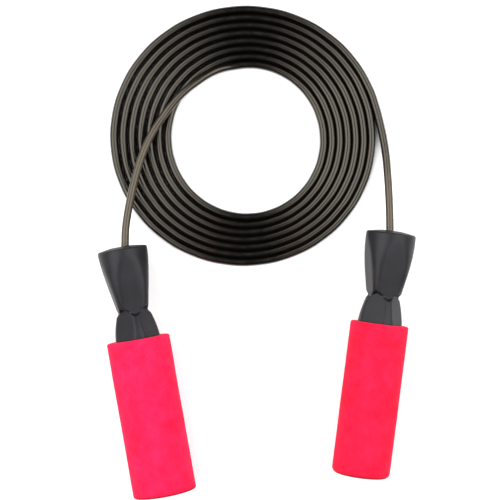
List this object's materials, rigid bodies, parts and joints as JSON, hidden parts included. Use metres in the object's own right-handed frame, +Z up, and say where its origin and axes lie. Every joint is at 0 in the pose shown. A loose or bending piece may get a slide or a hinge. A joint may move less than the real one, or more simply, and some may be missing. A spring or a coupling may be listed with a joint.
{
  "type": "jump rope",
  "caption": "Speed jump rope: a thin glossy cord in a flat round coil, with a faceted, ball-bearing handle and a foam grip on each end.",
  "frame": {"origin": "on the surface the rope lies on, under the middle of the two handles' common box", "axes": "+Z up from the surface, +Y from the grips towards the cord's mouths and the coil, +X from the left handle to the right handle"},
  "size_m": [0.1803, 0.2826, 0.036],
  "materials": {
    "cord": "glossy smoky brown-black PVC",
    "head_plastic": "satin moulded black",
    "cap_plastic": "satin moulded black",
    "foam": "fine closed-cell foam, hot pink",
    "bearing_steel": "ground and polished",
    "cage_brass": "pressed, dull",
    "bush_plastic": "natural acetal",
    "zinc_steel": "zinc plated",
    "ferrule_brass": "crimped, satin"
  },
  "bodies": {
    "rope": {"cord_left_lead": "cord", "cord_coil": "cord", "cord_right_lead": "cord", "left_inner_race": "bearing_steel", "left_bush": "bush_plastic", "left_stop_washer": "zinc_steel", "left_ferrule": "ferrule_brass", "right_inner_race": "bearing_steel", "right_bush": "bush_plastic", "right_stop_washer": "zinc_steel", "right_ferrule": "ferrule_brass"},
    "left_handle": {"left_core": "head_plastic", "left_grip": "foam", "left_cap": "cap_plastic", "left_end_plug": "cap_plastic", "left_outer_race": "bearing_steel", "left_front_shield": "bearing_steel", "left_rear_shield": "bearing_steel"},
    "left_bearing_cage": {"left_ball_cage": "cage_brass", "left_balls": "bearing_steel"},
    "right_handle": {"right_core": "head_plastic", "right_grip": "foam", "right_cap": "cap_plastic", "right_end_plug": "cap_plastic", "right_outer_race": "bearing_steel", "right_front_shield": "bearing_steel", "right_rear_shield": "bearing_steel"},
    "right_bearing_cage": {"right_ball_cage": "cage_brass", "right_balls": "bearing_steel"}
  },
  "joints": [
    {"name": "left_handle_spin", "type": "hinge", "parent": "rope", "child": "left_handle", "pos_m": [-0.0746, 0.05508, 0.018], "axis": [-0.1736, 0.9848, 0], "continuous": true},
    {"name": "left_cage_orbit", "type": "hinge", "parent": "rope", "child": "left_bearing_cage", "pos_m": [-0.0746, 0.05508, 0.018], "axis": [-0.1736, 0.9848, 0], "continuous": true},
    {"name": "right_handle_spin", "type": "hinge", "parent": "rope", "child": "right_handle", "pos_m": [0.0747, 0.06397, 0.0166], "axis": [0.1271, 0.9919, 0], "continuous": true},
    {"name": "right_cage_orbit", "type": "hinge", "parent": "rope", "child": "right_bearing_cage", "pos_m": [0.0747, 0.06397, 0.0166], "axis": [0.1271, 0.9919, 0], "continuous": true}
  ],
  "couplings": [
    {"joint": "left_cage_orbit", "follows": "left_handle_spin", "ratio": 0.62806},
    {"joint": "right_cage_orbit", "follows": "right_handle_spin", "ratio": 0.62806}
  ]
}
